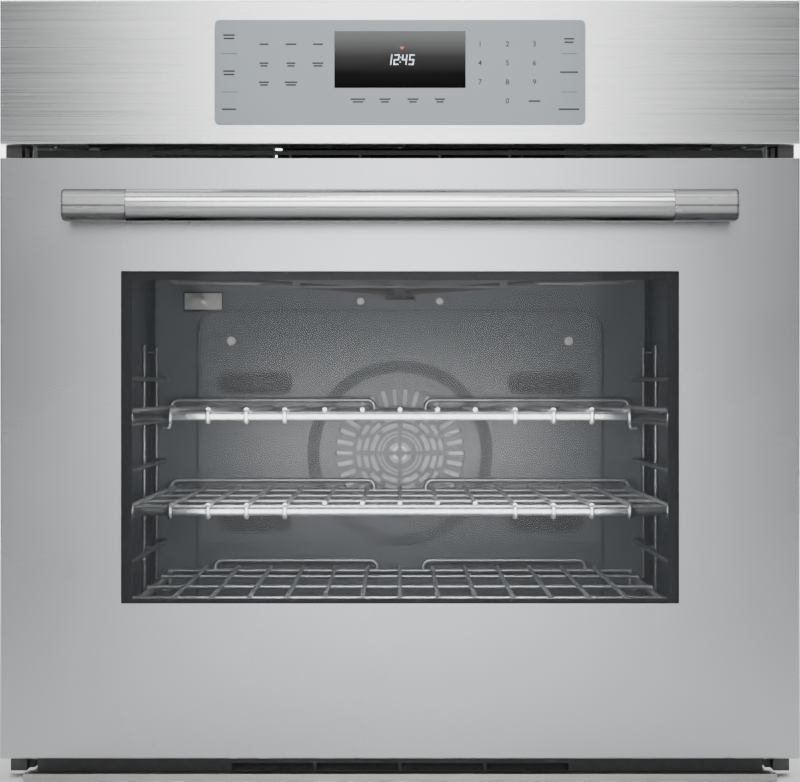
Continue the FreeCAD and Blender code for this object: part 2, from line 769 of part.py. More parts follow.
def touch_board():
    y0 = control_glass_front + control_glass_thickness
    board = box(-glass_half_width + 4, glass_half_width - 4, y0, y0 + 1.6, control_glass_bottom + 4,
                control_glass_top - 4)
    hole = box(-display_half_width, display_half_width, y0 - 5, y0 + 5, display_bottom, display_top)
    return board.cut(hole)


def display_module():
    y0 = control_glass_front + control_glass_thickness
    return box(-display_half_width + 3, display_half_width - 3, y0, y0 + 7.5, display_bottom + 3, display_top - 3)


def control_board():
    """The logic board, with its chips and a relay row."""
    y0 = logic_board_depth
    y1 = y0 + board_thickness
    z0 = control_glass_bottom + 6
    board = box(-logic_board_half_width, logic_board_half_width, y0, y1, z0, z0 + logic_board_height)
    chips = [box(x - 10, x + 10, y1, y1 + 3.0, z0 + 30, z0 + 50) for x in (-60, 0, 60)]
    relays = [box(-135 + i * 30.0, -117 + i * 30.0, y1, y1 + 7.4, z0 + 60, z0 + 76) for i in range(9)]
    return joined([board] + chips + relays)


def control_bracket():
    """The sheets that close the control panel's back and carry it on the casing's front."""
    z0, z1 = upper_vent_top + 3, chassis_height - sheet
    cover = box(-half_front + 2, half_front - 2, -return_gap, -return_gap + sheet, z0, front_height - 2)
    half = vent_half_width - 1
    plate = box(-half, half, 0.0, sheet, z0, z1)
    shelf = box(-half, half, 0.0, vent_depth + sheet, upper_vent_top + 2, z0)
    feet = [box(s * (half - 20) - 12, s * (half - 20) + 12, -return_gap, 0.0, z0, z0 + 17) for s in (-1, 1)]
    screws = [rod(1.6, (x, 12, z0 - 15), (x, 12, z0 + 15)) for x in panel_screw_places]
    return cut(joined([cover, plate, shelf] + feet), screws)


def intake_grille():
    """The perforated strip on the panel's underside, which lets room air in."""
    y0, y1 = front_face + 3.0, -0.2
    plate = box(-intake_half_width, intake_half_width, y0, y1, panel_bottom, panel_bottom + 0.8)
    slots = []
    for row in range(3):
        for i in range(41):
            x = (i - 20) * 14.0
            y = y0 + 4.5 + row * 6.6
            slots.append(box(x - 5.5, x + 5.5, y - 2.0, y + 2.0, panel_bottom - 1, panel_bottom + 2))
    return cut(plate, slots)


# ---- machinery above the cavity ----
def electronics_tray():
    return box(-half_chassis + sheet, half_chassis - sheet, 32.0, chassis_depth - sheet, tray_height, tray_top)


def power_board():
    """The power board on its posts, behind the blower."""
    x0, x1 = power_board_span
    y0 = blower_depth + 60.0
    y1 = y0 + power_board_length
    z0 = tray_top + board_post
    z1 = z0 + board_thickness
    board = box(x0, x1, y0, y1, z0, z1)
    relays = [box(x0 + 15 + i * 30.0, x0 + 33 + i * 30.0, y0 + 20, y0 + 40, z1, z1 + 16) for i in range(7)]
    coil = box(x1 - 90, x1 - 50, y0 + 80, y1 - 20, z1, z1 + 30)
    posts = [rod(3.0, (x, y, tray_top), (x, y, z0)) for x in (x0 + 10, x1 - 10) for y in (y0 + 10, y1 - 10)]
    return joined([board, coil] + relays + posts)


def blower_housing():
    """The cooling fan's scroll, open at its top, and the flat duct to the slots over the door."""
    x0, x1 = -blower_length / 2 - blower_end_gap, blower_length / 2 + blower_end_gap
    wall = housing_wall
    outer_r = blower_radius + housing_gap
    y, z = blower_depth, blower_height
    front = y - outer_r - 20
    drum = rod(outer_r + wall, (x0, y, z), (x1, y, z))
    duct = box(x0, x1, front, y, z - outer_r - wall, z - 5)
    inner = rod(outer_r, (x0 + wall, y, z), (x1 - wall, y, z))
    throat = box(x0 + wall, x1 - wall, front - 5, y, z - outer_r, z - 5 - wall)
    intake = box(x0 + wall, x1 - wall, y - 16, y + 16, z, z + outer_r + 5)
    shaft = rod(2 * blower_shaft, (x0 - 5, y, z), (x1 + 5, y, z))
    feet = [box(x, x + 2, y - 30, y + 30, tray_top, z - 20) for x in (x0, x1 - 2)]
    scroll = cut(joined([drum, duct] + feet), [inner, throat, intake, shaft])
    return Part.makeCompound([scroll, air_duct(x0, x1, front)])


def air_duct(x0, x1, back):
    """The flat duct from the blower to the slots over the door."""
    wall = housing_wall
    y0, y1 = vent_depth + 4, back
    z0 = blower_height - blower_radius - housing_gap - wall
    z1 = upper_vent_top - 2
    inner = box(x0 + wall, x1 - wall, y0 - 5, y1 + 5, z0 + wall, z1 - wall)
    return box(x0, x1, y0, y1, z0, z1).cut(inner)


def blower_wheel():
    """A crossflow drum: end discs, blades and a through shaft."""
    half = blower_length / 2
    y, z = blower_depth, blower_height
    parts = [rod(blower_radius, (s * half - 1, y, z), (s * half + 1, y, z)) for s in (-1, 1)]
    parts.append(rod(blower_shaft, (-half - 12, y, z), (half + 25, y, z)))
    for i in range(blower_blades):
        blade = box(-half, half, -blade_thickness / 2, blade_thickness / 2, blower_radius - blade_depth,
                    blower_radius - 0.5)
        blade.rotate(Vector(0, 0, 0), X, i * 360.0 / blower_blades)
        blade.translate(Vector(0, y, z))
        parts.append(blade)
    return joined(parts)


def blower_motor():
    x0 = blower_length / 2 + housing_gap
    y, z = blower_depth, blower_height
    can = rod(blower_motor_radius, (x0, y, z), (x0 + blower_motor_length, y, z))
    bore = rod(shaft_bore, (x0 - 5, y, z), (x0 + 30, y, z))
    foot = box(x0 + 10, x0 + 40, y - 20, y + 20, tray_top, z - 20)
    return cut(joined([can, foot]), [bore])


def fan_motor():
    back = cavity_depth + well_depth
    flange = rod(fan_flange_radius, (0, back, fan_height), (0, back + 2, fan_height))
    can = rod(fan_motor_radius, (0, back + 2, fan_height), (0, chassis_depth - 3, fan_height))
    bore = rod(shaft_bore, (0, back - 5, fan_height), (0, back + 25, fan_height))
    return joined([flange, can]).cut(bore)


def convection_fan_wheel():
    """A backed wheel with radial blades, on the motor's shaft."""
    y0 = cavity_depth - 4.0
    y1 = y0 + fan_wheel_depth
    disc = rod(fan_wheel_radius, (0, y1 - thick_sheet, fan_height), (0, y1, fan_height))
    hub = rod(9.0, (0, y0, fan_height), (0, y1, fan_height))
    shaft = rod(blower_shaft, (0, y0, fan_height), (0, cavity_depth + well_depth + 20, fan_height))
    blades = []
    for i in range(fan_blades):
        blade = box(20.0, fan_wheel_radius - 1, y0, y1, -blade_thickness / 2, blade_thickness / 2)
        blade.rotate(Vector(0, 0, 0), Y, i * 360.0 / fan_blades)
        blade.translate(Vector(0, 0, fan_height))
        blades.append(blade)
    return joined([disc, hub, shaft] + blades)


# ---- latch and switch ----
def latch_motor():
    """The latch's motor on its plate, with the pin that the hook turns on."""
    x, y, z = latch_pivot_x, latch_pivot_depth, latch_height + 8
    base = box(x - 14, x + 66, 33.0, 80.0, z, z + 2)
    block = box(x + 6, x + 62, 44.0, 78.0, z + 2, z + 14)
    pivot = rod(4.0, (x, y, latch_height - latch_thickness), (x, y, z))
    return joined([base, block, pivot])


def latch_hook():
    """A flat hook that lies behind the front frame and turns about an upright pin, out into the door."""
    z0, z1 = latch_height - latch_thickness / 2, latch_height + latch_thickness / 2
    x, y, half = latch_pivot_x, latch_pivot_depth, latch_arm_width / 2
    eye = rod(8.0, (x, y, z0), (x, y, z1))
    shank = box(x, x + latch_reach, y - half, y + half, z0, z1)
    tip = box(x + latch_reach - 6, x + latch_reach, y - half, y + half + 8, z0, z1)
    return joined([eye, shank, tip]).cut(rod(4.05, (x, y, z0 - 5), (x, y, z1 + 5)))


def door_switch_body():
    body = box(switch_x - 14, switch_x + 14, frame_depth + 1.5, frame_depth + 31.5, switch_height - 9,
               switch_height + 9)
    bore = rod(3.05, (switch_x, 0, switch_height), (switch_x, frame_depth + 24, switch_height))
    return body.cut(bore)


def door_switch_plunger():
    start = door_back + fit_gap
    return rod(3.0, (switch_x, start, switch_height), (switch_x, frame_depth + 20, switch_height))


# ---- hinges ----
def hinge_bodies():
    """Two steel channels that hold the hinge pins and guide the pull rods."""
    half = hinge_channel_inside / 2
    y1 = hinge_channel_length
    parts = []
    for side in (-1, 1):
        x0 = hinge_x + side * half
        x1 = hinge_x + side * (half + hinge_channel_wall)
        low, high = min(x0, x1), max(x0, x1)
        cheek = box(low, high, hinge_depth, y1, hinge_channel_floor, hinge_channel_top)
        nose = rod(7.0, (low, hinge_depth, hinge_height), (high, hinge_depth, hinge_height))
        hole = rod(hinge_pin_radius, (low - 5, hinge_depth, hinge_height), (high + 5, hinge_depth, hinge_height))
        parts.append(joined([cheek, nose]).cut(hole))
    floor_top = hinge_channel_floor + hinge_channel_wall
    parts.append(box(hinge_x - half - 0.5, hinge_x + half + 0.5, 45.0, y1, hinge_channel_floor, floor_top))
    parts.append(box(hinge_x - half - 0.5, hinge_x + half + 0.5, spring_end, spring_end + 3, floor_top - 0.5,
                     hinge_channel_top - 1))
    return mirrored(joined(parts))


def hinge_pins():
    half = hinge_channel_inside / 2 + hinge_channel_wall
    return mirrored(rod(hinge_pin_radius, (hinge_x - half, hinge_depth, hinge_height),
                        (hinge_x + half, hinge_depth, hinge_height)))


def hinge_arms():
    """Steel arms that stand up inside the door, with an eye and a crank at the pivot."""
    x0 = hinge_x - hinge_plate / 2
    x1 = hinge_x + hinge_plate / 2
    y = hinge_depth
    eye = rod(hinge_eye_radius, (x0, y, hinge_height), (x1, y, hinge_height))
    bar = box(x0, x1, y - 11, y + 5, hinge_height, hinge_height + hinge_arm_length)
    crank = box(x0, x1, y - 5, y + 5, hinge_height, hinge_height + crank_radius)
    tip = rod(5.0, (x0, y, hinge_height + crank_radius), (x1, y, hinge_height + crank_radius))
    pin_end = x1 + rod_side_gap + rod_plate + 0.8
    pin = rod(crank_pin_radius, (x1, y, hinge_height + crank_radius), (pin_end, y, hinge_height + crank_radius))
    lever = joined([crank, tip, pin])
    lever.rotate(Vector(0, y, hinge_height), X, -45)
    feet = box(x1, door_half_body - thick_sheet, y - 11, y - 8, hinge_height + 60, hinge_height + 200)
    hole = rod(hinge_pin_radius + hinge_clearance, (x0 - 5, y, hinge_height), (x1 + 5, y, hinge_height))
    return mirrored(cut(joined([eye, bar, lever, feet]), [hole]))


def hinge_rods():
    """Pull rods with a slotted yoke round the crank pin, and an eye for the spring."""
    x0 = hinge_x + hinge_plate / 2 + rod_side_gap
    x1 = x0 + rod_plate
    pin_y = hinge_depth + crank_radius * math.cos(math.radians(45))
    pin_z = hinge_height + crank_radius * math.sin(math.radians(45))
    slot_half = crank_pin_radius + 0.9
    top = hinge_height + crank_radius + crank_pin_radius + 0.8
    plate = box(x0, x1, pin_y - slot_half - 2.2, pin_y + slot_half + 10, pin_z - crank_pin_radius - 3.5, top + 2)
    slot = box(x0 - 2, x1 + 2, pin_y - slot_half, pin_y + slot_half, pin_z - crank_pin_radius - 1.0, top)
    z = rod_height
    shaft = rod(rod_radius, (x0 + rod_plate / 2, pin_y + slot_half + 4, z), (x0 + rod_plate / 2, spring_start - 4, z))
    eye = Part.makeCylinder(4.0, rod_plate, Vector(x0, spring_start - 4, z), X)
    return mirrored(joined([plate.cut(slot), shaft, eye]))


def hinge_springs():
    """A pull spring behind each rod, drawn as its wound sleeve with one groove for each turn."""
    x = hinge_x
    pitch = (spring_end - spring_start) / spring_turns
    outline = [Vector(0, 0, 0)]
    for i in range(spring_turns):
        z = i * pitch
        outline += [Vector(spring_inner, 0, z)] if i == 0 else []
        outline += [Vector(spring_outer, 0, z + 0.25 * pitch), Vector(spring_outer, 0, z + 0.75 * pitch),
                    Vector(spring_outer - spring_wire, 0, z + pitch)]
    top = spring_end - spring_start
    outline = outline[1:] + [Vector(spring_inner, 0, top)]
    face = Part.Face(Part.makePolygon(outline + outline[:1]))
    coil = face.revolve(Vector(0, 0, 0), Z, 360)
    coil.rotate(Vector(0, 0, 0), X, -90)
    coil.translate(Vector(x, spring_start, rod_height))
    return mirrored(coil)


# ---- door ----
def door_outer_skin():
    pan = front_pan(door_bottom, door_top, -door_return_gap, door_skin)
    window = rounded_plate(window_half_width, window_bottom, window_top, front_face - 5, front_face + 5, 1.0)
    bolts = [rod(2.2, (s * x, front_face - 5, handle_height), (s * x, front_face + 5, handle_height))
             for s in (-1, 1) for x in handle_bolt_places]
    return cut(pan, [window] + bolts)


def door_outer_glass():
    return rounded_plate(window_half_width + outer_glass_lap, window_bottom - outer_glass_lap,
                         window_top + outer_glass_lap, outer_glass_front, outer_glass_back, 4.0)


def pane(y0, y1):
    return rounded_plate(inner_window_half_width + inner_glass_lap, inner_window_bottom - inner_glass_lap,
                         inner_window_top + inner_glass_lap, y0, y1, 4.0)


def middle_panes():
    return [pane(y, y + inner_pane_thickness) for y in middle_pane_depths]


def door_middle_glass():
    return Part.makeCompound(middle_panes())


def door_inner_glass():
    return pane(inner_face - pane_thickness, inner_face)


def glass_brackets():
    """Side channels that hold the middle panes."""
    x0 = inner_window_half_width + 4
    x1 = inner_window_half_width + inner_glass_lap + 8
    channel = box(x0, x1, -18.0, inner_face - pane_thickness, inner_window_bottom + 20, inner_window_top - 20)
    return mirrored(cut(channel, middle_panes()))


def hinge_bays(y0, y1):
    return [box(s * hinge_x - hinge_bay_half, s * hinge_x + hinge_bay_half, y0, y1, 0.0, hinge_bay_top)
            for s in (-1, 1)]


def door_frame():
    """Channel stiles and rails between the outer skin and the inner panel, open to the rear."""
    half = door_half_body
    front, back = outer_glass_back, inner_face
    z0, z1 = door_body_bottom, door_body_top
    outer = box(-half, half, front, back, z0, z1)
    middle = box(-half + stile_width, half - stile_width, front - 5, back + 5, z0 + rail_height, z1 - rail_height)
    wall = thick_sheet
    stile_centre = half - stile_width / 2
    stile_half = stile_width / 2 - wall
    stiles = [box(s * stile_centre - stile_half, s * stile_centre + stile_half,
                  front + wall, back + 5, z0 + wall, z1 - wall) for s in (-1, 1)]
    rails = [box(-half + wall, half - wall, front + wall, back + 5, low + wall, low + rail_height - wall)
             for low in (z0, z1 - rail_height)]
    return cut(outer, [middle] + stiles + rails + hinge_bays(-10.0, back + 5))


def door_inner_panel():
    """The enamelled inner sheet, with its window, latch slot and hinge bays."""
    half = door_half_body
    z0, z1 = door_body_bottom, door_body_top
    plate = box(-half, half, inner_face, door_back, z0, z1)
    window = rounded_plate(inner_window_half_width, inner_window_bottom, inner_window_top, 0.0, 20.0, 8.0)
    latch = box(-latch_slot_half, latch_slot_half, 0.0, 20.0, latch_height - 5, latch_height + 5)
    return cut(plate, [window, latch] + hinge_bays(0.0, 20.0))


def door_insulation():
    half = door_half_body - stile_width - 2
    y0, y1 = outer_glass_back + 1, inner_face - 1
    pads = [box(-half, half, y0, y1, 42.0, inner_window_bottom - inner_glass_lap - 3),
            box(-half, half, y0, y1, inner_window_top + inner_glass_lap + 3, latch_height - 10)]
    return Part.makeCompound(pads)


def handle_bar():
    y, z, half = handle_depth, handle_height, handle_bar_half_length
    outer = rod(handle_radius, (-half, y, z), (half, y, z))
    inner = rod(handle_radius - handle_wall, (-half - 5, y, z), (half + 5, y, z))
    return outer.cut(inner)


def handle_ends():
    """Solid end pieces with a flat front, each on a post that stands off the door."""
    x0 = handle_bar_half_length
    x1 = x0 + handle_end_length
    y, z = handle_depth, handle_height
    half = handle_end_height / 2
    block = box(x0, x1, y - half, y + half, z - half, z + half)
    long_edges = [e for e in block.Edges if abs(e.tangentAt(e.FirstParameter).x) > 0.99]
    block = block.makeFillet(9.0, long_edges)
    end_edges = [e for e in block.Edges if all(abs(v.X - x1) < 1e-6 for v in e.Vertexes)]
    block = block.makeFillet(2.5, end_edges)
    spigot = rod(handle_radius - handle_wall, (x0 - 15, y, z), (x0 + 1, y, z))
    middle = (x0 + x1) / 2
    post = box(middle - handle_post_length / 2, middle + handle_post_length / 2, y, front_face,
               z - handle_post_height / 2, z + handle_post_height / 2)
    uprights = [e for e in post.Edges if abs(e.tangentAt(e.FirstParameter).y) > 0.99]
    post = post.makeFillet(5.0, uprights)
    holes = [rod(2.2, (x, front_face - 20, z), (x, front_face + 5, z)) for x in handle_bolt_places]
    return mirrored(cut(joined([block, spigot, post]), holes))


def handle_screws():
    y = front_face + door_skin
    bolts = []
    for x in handle_bolt_places:
        head = rod(3.8, (x, y, handle_height), (x, y + 2.6, handle_height))
        stem = rod(2.2, (x, y - 18, handle_height), (x, y, handle_height))
        bolts += both_sides(joined([head, stem]))
    return Part.makeCompound(bolts)


# ---- supply ----
def junction_box():
    """The box behind the rear panel where the house wires join, open to the rear."""
    x0, x1 = gland_x - junction_half_width, gland_x + junction_half_width
    y0, y1 = cavity_depth, chassis_depth - sheet
    z0, z1 = gland_height - junction_half_height, gland_height + junction_half_height
    wall = housing_wall
    outer = box(x0, x1, y0, y1, z0, z1)
    inner = box(x0 + wall, x1 - wall, y0 + wall, y1 + 5, z0 + wall, z1 - wall)
    return outer.cut(inner)


def conduit_gland():
    y1 = chassis_depth
    barrel = rod(gland_radius, (gland_x, y1 - gland_length, gland_height), (gland_x, y1, gland_height))
    nut = rod(gland_radius + 5, (gland_x, y1 - gland_nut, gland_height), (gland_x, y1 - sheet, gland_height))
    bore = rod(gland_bore, (gland_x, y1 - 30, gland_height), (gland_x, y1 + 5, gland_height))
    return joined([barrel, nut]).cut(bore)


def casing_screws():
    """Screws down through the top panel, and up under the control panel."""
    down = [screw(x, y, chassis_height, (0, 0, -1), 4.0, 2.0, casing_screw_radius, 9.0)
            for x, y in casing_screw_places]
    up = [screw(x, 12, upper_vent_top + 2, (0, 0, 1), 3.6, 1.9, 1.6, 8.0) for x in panel_screw_places]
    return Part.makeCompound(down + up)


# ---- racks ----
def rack(bar_height, wires_each_side, cross_depths, stop_from, stop_to):
    """A welded wire rack: front bar, side rails, long wires that wrap the bar, cross wires and back stops."""
    z = bar_height
    bar_end = rail_x + 2.2
    parts = [rod(bar_radius, (-bar_end, rack_bar_depth, z), (bar_end, rack_bar_depth, z))]
    long_z = z + wire_above_bar - 0.6
    wrap = bar_radius + wire_radius - 0.6
    wire_end = rack_back_depth + 1.7
    cross_end = rail_x + 1.0
    for i in range(-wires_each_side, wires_each_side + 1):
        x = i * wire_pitch
        if abs(i) <= 2:
            parts.append(rod(wire_radius, (x, cross_depths[0] - 6, long_z), (x, wire_end, long_z)))
            continue
        parts.append(rod(wire_radius, (x, rack_bar_depth - 0.8, long_z), (x, wire_end, long_z)))
        parts.append(Part.makeTorus(wrap, wire_radius, Vector(x, rack_bar_depth, z), X))
    for y in cross_depths:
        parts.append(rod(cross_radius, (-cross_end, y, z + cross_above_bar), (cross_end, y, z + cross_above_bar)))
    for side in (-1, 1):
        parts.append(rod(rail_radius, (side * rail_x, rack_bar_depth - 1, z - rail_below_bar),
                         (side * rail_x, rack_back_depth + 2, z - rail_below_bar)))
        hook_x = side * (rail_x - 2.5)
        hook = [(hook_x, rack_back_depth - 20, z - rail_below_bar),
                (hook_x, rack_back_depth - 20, z - hook_below_bar),
                (side * hook_reach, rack_back_depth - 20, z - hook_below_bar)]
        parts.append(bent_wire(hook, cross_radius, 3.0))
        low = z + cross_above_bar
        high = z + stop_above_bar
        y = rack_back_depth
        stop = [(side * stop_from, y, low), (side * stop_from, y, high), (side * stop_to, y, high),
                (side * stop_to, y, low)]
        parts.append(bent_wire(stop, cross_radius, stop_bend))
    return joined(parts)


def upper_rack(bar_height):
    return rack(bar_height, 7, (100.0, 214.0, 339.0, rack_back_depth), 30.0, rail_x - 2.5)


def top_rack():
    return upper_rack(bottom_bar_height + 2 * rack_pitch)


def middle_rack():
    return upper_rack(bottom_bar_height + rack_pitch)


def bottom_rack():
    return rack(bottom_bar_height, 6, (118.5, 251.0, cavity_depth - 112.0, rack_back_depth), 27.0,
                cavity_half_width - 78.5)


# ---- export ----
nodes = (
    side_panels, rear_panel, top_panel, base_pan, mounting_flanges, side_trim_rails, front_frame, vent_trims,
    bottom_trim, casing_screws, insulation_blanket,
    cavity_liner, cavity_rear_wall, fan_cover, fan_cover_screws, convection_element, broil_element,
    bake_element, rack_guides, temperature_sensor, cavity_lamps, lamp_lenses, door_gasket,
    control_fascia, control_glass, display_window, circuit_boards, control_bracket, intake_grille,
    electronics_tray, blower_housing, blower_wheel, blower_motor, fan_motor, convection_fan_wheel,
    latch_motor, latch_hook, door_switch_body, door_switch_plunger,
    hinge_bodies, hinge_pins, hinge_arms, hinge_rods, hinge_springs,
    door_outer_skin, door_outer_glass, door_middle_glass, door_inner_glass, glass_brackets, door_frame,
    door_inner_panel, door_insulation, handle_bar, handle_ends, handle_screws,
    junction_box, conduit_gland, top_rack, middle_rack, bottom_rack,
)

os.makedirs("parts", exist_ok=True)
for make in nodes:
    shape = make()
    shape.translate(Vector(0, depth_shift, 0))
    shape.exportStep("parts/" + make.__name__ + ".step")
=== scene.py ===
"""Looks of the built-in wall oven: materials, lights, camera and the finely made pieces."""
import bpy
import bmesh
import json
import math
from mathutils import Matrix, Vector


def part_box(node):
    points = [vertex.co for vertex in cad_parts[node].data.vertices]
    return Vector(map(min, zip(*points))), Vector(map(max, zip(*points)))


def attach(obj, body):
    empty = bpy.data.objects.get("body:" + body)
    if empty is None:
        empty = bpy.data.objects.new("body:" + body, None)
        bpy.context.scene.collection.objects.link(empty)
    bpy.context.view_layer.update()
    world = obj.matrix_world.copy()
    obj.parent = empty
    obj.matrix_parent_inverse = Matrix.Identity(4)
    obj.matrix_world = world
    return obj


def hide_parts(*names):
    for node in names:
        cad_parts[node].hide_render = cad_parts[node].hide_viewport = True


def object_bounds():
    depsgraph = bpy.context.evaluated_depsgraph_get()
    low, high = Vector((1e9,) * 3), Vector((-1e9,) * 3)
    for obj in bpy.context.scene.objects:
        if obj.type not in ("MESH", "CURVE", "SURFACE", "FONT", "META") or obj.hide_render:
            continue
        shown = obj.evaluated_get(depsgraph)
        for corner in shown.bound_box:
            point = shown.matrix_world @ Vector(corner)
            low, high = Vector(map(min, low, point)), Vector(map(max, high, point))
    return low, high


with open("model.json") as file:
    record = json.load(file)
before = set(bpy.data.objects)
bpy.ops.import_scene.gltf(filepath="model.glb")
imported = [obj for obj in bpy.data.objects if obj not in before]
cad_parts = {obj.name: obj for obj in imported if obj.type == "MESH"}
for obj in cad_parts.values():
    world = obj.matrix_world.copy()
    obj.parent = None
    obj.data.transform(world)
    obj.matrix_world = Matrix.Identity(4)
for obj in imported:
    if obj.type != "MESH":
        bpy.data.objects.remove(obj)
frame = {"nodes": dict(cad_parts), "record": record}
cad_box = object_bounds()
nodes = frame["nodes"]
MM = 0.001

# ---- places read from the frame ----
fascia_low, fascia_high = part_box("control_fascia")
glass_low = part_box("control_glass")[0]
display_low, display_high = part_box("display_window")
window_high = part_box("door_outer_glass")[1]
bar_low, bar_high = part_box("handle_bar")
cover_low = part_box("fan_cover")[0]
front_y = fascia_low[1]


# ---- materials ----
def new_material(name, colour, metallic=0.0, roughness=0.5):
    """A material, its node tree and its Principled node, with plain values set."""
    material = bpy.data.materials.new(name)
    material.use_nodes = True
    tree = material.node_tree
    shader = tree.nodes["Principled BSDF"]
    shader.inputs["Base Color"].default_value = (*colour, 1.0)
    shader.inputs["Metallic"].default_value = metallic
    shader.inputs["Roughness"].default_value = roughness
    return material, tree, shader


def noise(tree, scale, stretch=(1, 1, 1), detail=4.0, roughness=0.55):
    """Noise in object coordinates, stretched along an axis where its scale is small."""
    place = tree.nodes.new("ShaderNodeTexCoord")
    mapping = tree.nodes.new("ShaderNodeMapping")
    mapping.inputs["Scale"].default_value = stretch
    texture = tree.nodes.new("ShaderNodeTexNoise")
    texture.inputs["Scale"].default_value = scale
    texture.inputs["Detail"].default_value = detail
    texture.inputs["Roughness"].default_value = roughness
    tree.links.new(place.outputs["Object"], mapping.inputs["Vector"])
    tree.links.new(mapping.outputs["Vector"], texture.inputs["Vector"])
    return texture.outputs["Fac"]


def between(tree, factor, low, high):
    """The factor, from 0 to 1, mapped to a range."""
    node = tree.nodes.new("ShaderNodeMapRange")
    node.inputs["From Min"].default_value = 0.3
    node.inputs["From Max"].default_value = 0.7
    node.inputs["To Min"].default_value = low
    node.inputs["To Max"].default_value = high
    tree.links.new(factor, node.inputs["Value"])
    return node.outputs["Result"]


def blended_colour(tree, factor, first, second):
    node = tree.nodes.new("ShaderNodeMix")
    node.data_type = "RGBA"
    node.inputs["A"].default_value = (*first, 1.0)
    node.inputs["B"].default_value = (*second, 1.0)
    tree.links.new(factor, node.inputs["Factor"])
    return node.outputs["Result"]


def bump(tree, shader, height, strength, distance):
    node = tree.nodes.new("ShaderNodeBump")
    node.inputs["Strength"].default_value = strength
    node.inputs["Distance"].default_value = distance
    tree.links.new(height, node.inputs["Height"])
    tree.links.new(node.outputs["Normal"], shader.inputs["Normal"])


def textured(name, colour, second, metallic, rough, scale, stretch=(1, 1, 1), strength=0.1,
             depth=0.0001, detail=4.0):
    """A material whose colour, roughness and relief all vary with one noise."""
    material, tree, shader = new_material(name, colour, metallic, sum(rough) / 2)
    factor = noise(tree, scale, stretch, detail)
    spread = between(tree, factor, 0.0, 1.0)
    tree.links.new(blended_colour(tree, spread, colour, second), shader.inputs["Base Color"])
    tree.links.new(between(tree, factor, *rough), shader.inputs["Roughness"])
    bump(tree, shader, factor, strength, depth)
    return material, shader


def brushed_steel():
    """Horizontally brushed stainless: long fine streaks, and gloss spread across them."""
    material, shader = textured("brushed_steel", (0.76, 0.77, 0.78), (0.90, 0.91, 0.92), 1.0,
                                (0.24, 0.36), 260.0, (0.012, 1.0, 5.0), 0.25, 0.00004, 6.0)
    tree = material.node_tree
    tangent = tree.nodes.new("ShaderNodeTangent")
    tangent.direction_type = "RADIAL"
    tangent.axis = "Z"
    tree.links.new(tangent.outputs["Tangent"], shader.inputs["Tangent"])
    shader.inputs["Anisotropic"].default_value = 0.8
    shader.inputs["Anisotropic Rotation"].default_value = 0.25
    return material


def painted_reflection_bands(name, low, high, stops, metallic=1.0, rough=(0.16, 0.22), specular=0.5):
    """A material with a painted reflection: its grey changes with the height between two levels, as
    (share, grey) stops.
    """
    material, tree, shader = new_material(name, (0.7, 0.7, 0.7), metallic, rough[0])
    place = tree.nodes.new("ShaderNodeTexCoord")
    split = tree.nodes.new("ShaderNodeSeparateXYZ")
    share = tree.nodes.new("ShaderNodeMapRange")
    share.inputs["From Min"].default_value = low
    share.inputs["From Max"].default_value = high
    ramp = tree.nodes.new("ShaderNodeValToRGB")
    elements = ramp.color_ramp.elements
    elements[0].position = stops[0][0]
    elements[1].position = stops[-1][0]
    for position, _ in stops[1:-1]:
        elements.new(position)
    for index, (position, grey) in enumerate(stops):
        elements[index].color = (grey, grey * 1.01, grey * 1.02, 1.0)
    shader.inputs["Specular IOR Level"].default_value = specular
    tree.links.new(place.outputs["Object"], split.inputs["Vector"])
    tree.links.new(split.outputs["Z"], share.inputs["Value"])
    tree.links.new(share.outputs["Result"], ramp.inputs["Fac"])
    tree.links.new(ramp.outputs["Color"], shader.inputs["Base Color"])
    tree.links.new(between(tree, noise(tree, 90.0, (0.1, 1.0, 1.0)), *rough), shader.inputs["Roughness"])
    return material


def see_through(name, colour, alpha, roughness=0.03):
    material, tree, shader = new_material(name, colour, 0.0, roughness)
    shader.inputs["Alpha"].default_value = alpha
    shader.inputs["Specular IOR Level"].default_value = 0.12
    factor = noise(tree, 12.0, detail=2.0)
    tree.links.new(between(tree, factor, roughness, roughness * 1.6), shader.inputs["Roughness"])
    return material


